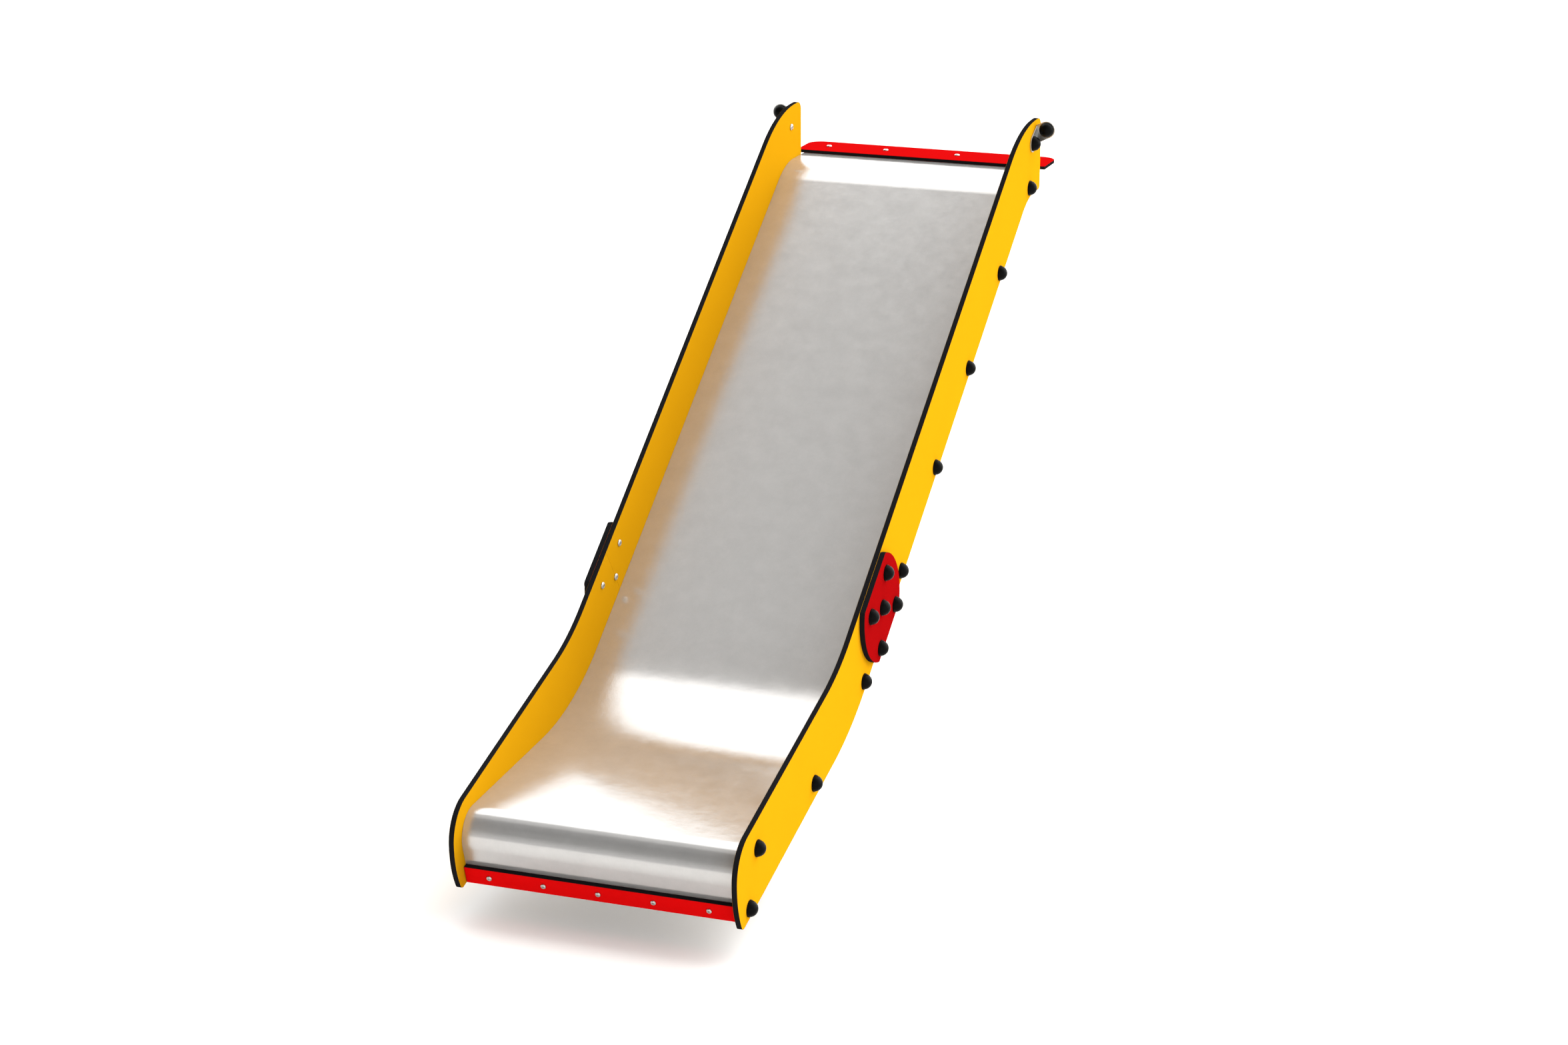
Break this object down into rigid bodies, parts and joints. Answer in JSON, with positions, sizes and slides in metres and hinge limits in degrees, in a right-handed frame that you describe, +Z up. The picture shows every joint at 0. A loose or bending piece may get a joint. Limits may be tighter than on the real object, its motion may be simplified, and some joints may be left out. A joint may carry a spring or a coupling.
{
  "type": "straight playground slide",
  "caption": "Straight playground slide: stainless bed between yellow laminate sides, round joint plates, red end strips, tower brackets and feet.",
  "frame": {"origin": "on the ground, under the centre of the slide's bounding box", "axes": "+X across the slide to its right as seen from the bottom, +Y level, uphill towards the tower, +Z up"},
  "size_m": [0.717, 2.2126, 1.333],
  "materials": {
    "laminate_yellow": "fine satin grain, dark core at the edges",
    "laminate_red": "fine satin grain, dark core at the edges",
    "cap_plastic": "black, semi-gloss",
    "bed_stainless": "brushed, worn smooth by use",
    "plain_stainless": "mill finish",
    "fasteners_stainless": "satin",
    "batten_aluminium": "plain",
    "galvanised_steel": "hot-dip galvanised"
  },
  "bodies": {
    "root": {"bed_stiffeners": "plain_stainless", "bottom_batten": "batten_aluminium", "bottom_strip": "laminate_red", "bottom_strip_screws": "fasteners_stainless", "left_base_plate": "galvanised_steel", "left_cap_bases": "cap_plastic", "left_cap_domes": "cap_plastic", "left_crossbar_end_block": "galvanised_steel", "left_end_bolts": "fasteners_stainless", "left_joint_plate": "laminate_red", "left_joint_plate_bolts": "fasteners_stainless", "left_nuts": "fasteners_stainless", "left_side_bolts": "fasteners_stainless", "left_side_lower": "laminate_yellow", "left_side_upper": "laminate_yellow", "left_support_leg": "galvanised_steel", "left_tower_bolt": "fasteners_stainless", "left_tower_bracket": "plain_stainless", "left_washers": "fasteners_stainless", "right_base_plate": "galvanised_steel", "right_cap_bases": "cap_plastic", "right_cap_domes": "cap_plastic", "right_crossbar_end_block": "galvanised_steel", "right_end_bolts": "fasteners_stainless", "right_joint_plate": "laminate_red", "right_joint_plate_bolts": "fasteners_stainless", "right_nuts": "fasteners_stainless", "right_side_bolts": "fasteners_stainless", "right_side_lower": "laminate_yellow", "right_side_upper": "laminate_yellow", "right_support_leg": "galvanised_steel", "right_tower_bolt": "fasteners_stainless", "right_tower_bracket": "plain_stainless", "right_washers": "fasteners_stainless", "slide_bed": "bed_stainless", "support_crossbar": "galvanised_steel", "top_strip": "laminate_red", "top_strip_screws": "fasteners_stainless"}
  },
  "joints": []
}
